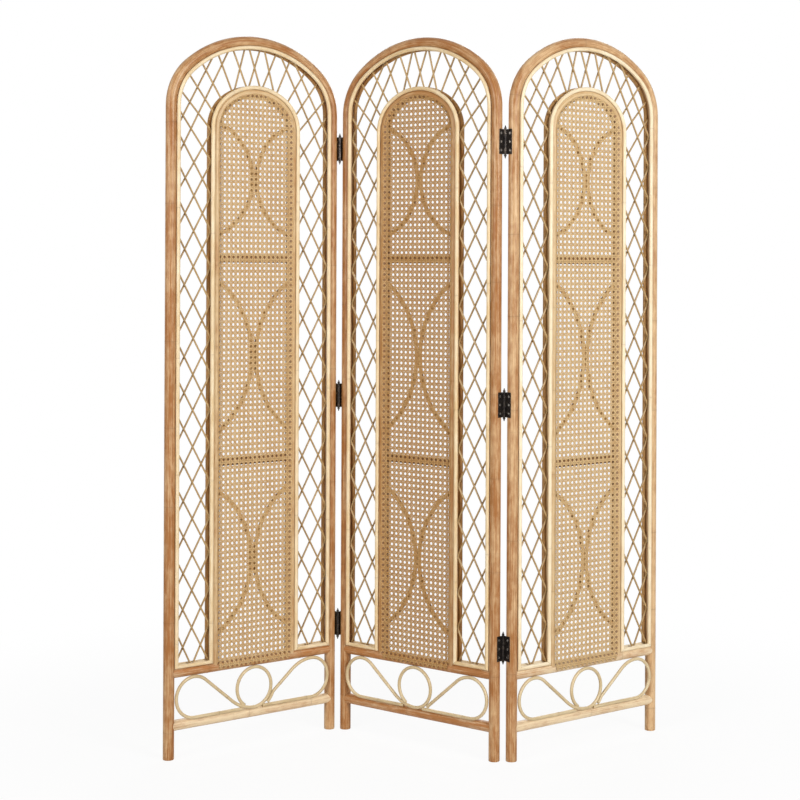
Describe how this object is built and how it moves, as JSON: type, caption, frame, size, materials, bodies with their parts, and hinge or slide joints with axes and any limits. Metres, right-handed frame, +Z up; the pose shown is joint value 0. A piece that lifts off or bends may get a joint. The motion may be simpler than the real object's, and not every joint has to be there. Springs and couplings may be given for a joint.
{
  "type": "folding screen",
  "caption": "Folding screen of arched bent-rattan panels, with cane webbing, crossed-cane lattice and scrollwork, joined by loose-pin hinges.",
  "frame": {"origin": "on the floor, under the centre of the middle panel", "axes": "+Z up, +X along the line of the screen toward its right end as seen from the front, -Y toward the front"},
  "size_m": [1.2522, 0.325, 1.7998],
  "materials": {
    "outer_pole": "satin varnished rattan, warm tan",
    "inner_pole": "satin varnished rattan",
    "rail": "satin varnished rattan",
    "bar": "satin varnished rattan",
    "liner": "pale rattan core, satin",
    "lattice_cane": "pale split cane, satin",
    "webbing": "woven split cane",
    "scroll_cane": "pale rattan core, satin",
    "hinge": "dark bronzed steel",
    "hinge_pin": "dark bronzed steel",
    "screw": "bright steel"
  },
  "bodies": {
    "left_panel": {"left_outer_frame": "outer_pole", "left_outer_liner_front": "liner", "left_outer_liner_back": "liner", "left_inner_frame": "inner_pole", "left_inner_liner_front": "liner", "left_inner_liner_back": "liner", "left_upper_rail": "rail", "left_lower_rail": "rail", "left_sill_strips": "liner", "left_lattice": "lattice_cane", "left_webbing": "webbing", "left_cross_bars": "bar", "left_braces": "bar", "left_scroll": "scroll_cane", "left_leaf_low": "hinge", "left_leaf_mid": "hinge", "left_leaf_top": "hinge", "left_screws": "screw"},
    "middle_panel": {"mid_outer_frame": "outer_pole", "mid_outer_liner_front": "liner", "mid_outer_liner_back": "liner", "mid_inner_frame": "inner_pole", "mid_inner_liner_front": "liner", "mid_inner_liner_back": "liner", "mid_upper_rail": "rail", "mid_lower_rail": "rail", "mid_sill_strips": "liner", "mid_lattice": "lattice_cane", "mid_webbing": "webbing", "mid_cross_bars": "bar", "mid_braces": "bar", "mid_scroll": "scroll_cane", "mid_left_leaf_low": "hinge", "mid_left_leaf_mid": "hinge", "mid_left_leaf_top": "hinge", "mid_left_screws": "screw", "left_pins": "hinge_pin", "mid_right_leaf_low": "hinge", "mid_right_leaf_mid": "hinge", "mid_right_leaf_top": "hinge", "mid_right_screws": "screw", "right_pins": "hinge_pin"},
    "right_panel": {"right_outer_frame": "outer_pole", "right_outer_liner_front": "liner", "right_outer_liner_back": "liner", "right_inner_frame": "inner_pole", "right_inner_liner_front": "liner", "right_inner_liner_back": "liner", "right_upper_rail": "rail", "right_lower_rail": "rail", "right_sill_strips": "liner", "right_lattice": "lattice_cane", "right_webbing": "webbing", "right_cross_bars": "bar", "right_braces": "bar", "right_scroll": "scroll_cane", "right_leaf_low": "hinge", "right_leaf_mid": "hinge", "right_leaf_top": "hinge", "right_screws": "screw"}
  },
  "joints": [
    {"name": "left_hinge", "type": "hinge", "parent": "middle_panel", "child": "left_panel", "pos_m": [-0.21109, 0.14449, 0.9], "axis": [0, 0, 1], "range_deg": [-76, 104]},
    {"name": "right_hinge", "type": "hinge", "parent": "middle_panel", "child": "right_panel", "pos_m": [0.21109, -0.14449, 0.9], "axis": [0, 0, 1], "range_deg": [-76, 104]}
  ]
}
